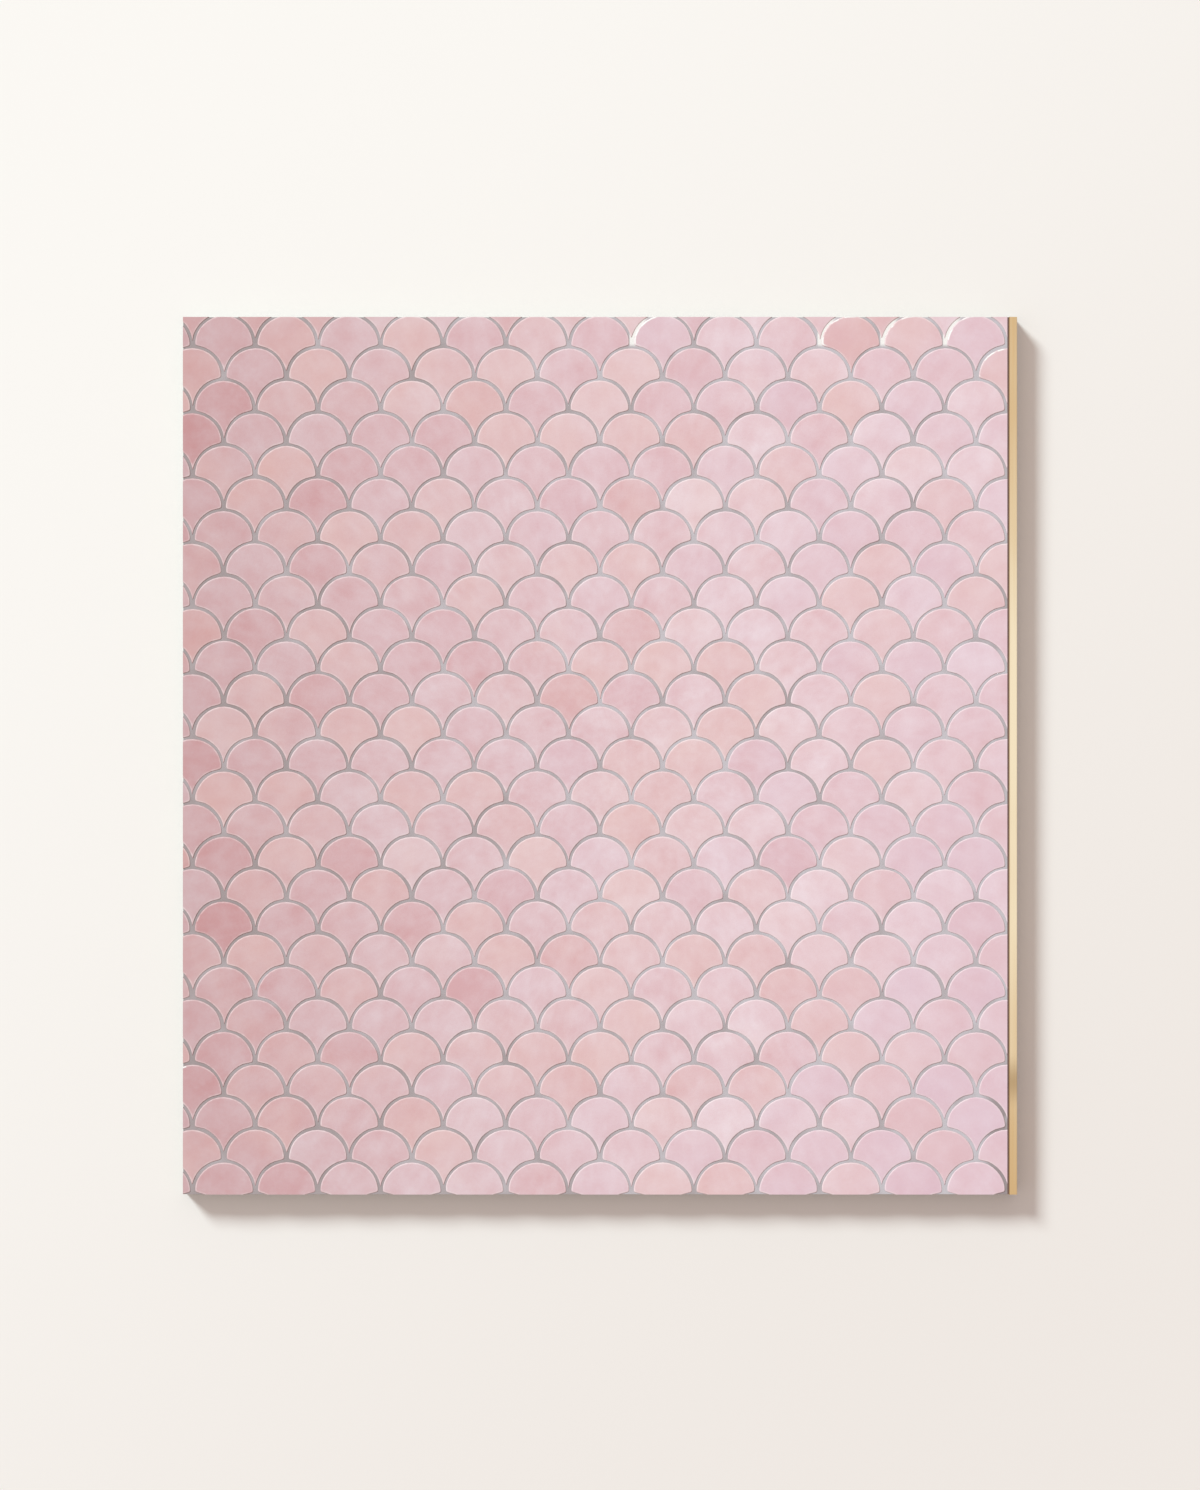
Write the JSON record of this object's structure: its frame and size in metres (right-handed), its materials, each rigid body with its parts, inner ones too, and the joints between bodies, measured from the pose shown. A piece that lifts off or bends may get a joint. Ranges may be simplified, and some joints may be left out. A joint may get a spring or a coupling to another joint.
{
  "type": "fish-scale mosaic tile panel",
  "caption": "Porcelain mosaic panel of interlocking fish-scale chips in pink glaze, grouted on a backer board, with a brass trim along one edge.",
  "frame": {"origin": "middle of the panel's back, which lies on the floor", "axes": "+Z out of the glazed face, +Y towards the round ends of the chips, +X towards the brass trim"},
  "size_m": [0.825, 0.868, 0.023],
  "materials": {
    "glazed_porcelain": "satin glaze",
    "joint_grout": "fine sanded",
    "tile_adhesive": "matt",
    "satin_brass": "satin",
    "cement_board": "matt"
  },
  "bodies": {
    "root": {"tile_row_01": "glazed_porcelain", "tile_row_02": "glazed_porcelain", "tile_row_03": "glazed_porcelain", "tile_row_04": "glazed_porcelain", "tile_row_05": "glazed_porcelain", "tile_row_06": "glazed_porcelain", "tile_row_07": "glazed_porcelain", "tile_row_08": "glazed_porcelain", "tile_row_09": "glazed_porcelain", "tile_row_10": "glazed_porcelain", "tile_row_11": "glazed_porcelain", "tile_row_12": "glazed_porcelain", "tile_row_13": "glazed_porcelain", "tile_row_14": "glazed_porcelain", "tile_row_15": "glazed_porcelain", "tile_row_16": "glazed_porcelain", "tile_row_17": "glazed_porcelain", "tile_row_18": "glazed_porcelain", "tile_row_19": "glazed_porcelain", "tile_row_20": "glazed_porcelain", "tile_row_21": "glazed_porcelain", "tile_row_22": "glazed_porcelain", "tile_row_23": "glazed_porcelain", "tile_row_24": "glazed_porcelain", "tile_row_25": "glazed_porcelain", "tile_row_26": "glazed_porcelain", "tile_row_27": "glazed_porcelain", "tile_row_28": "glazed_porcelain", "grout": "joint_grout", "adhesive_bed": "tile_adhesive", "brass_trim": "satin_brass", "backer_board": "cement_board"}
  },
  "joints": []
}
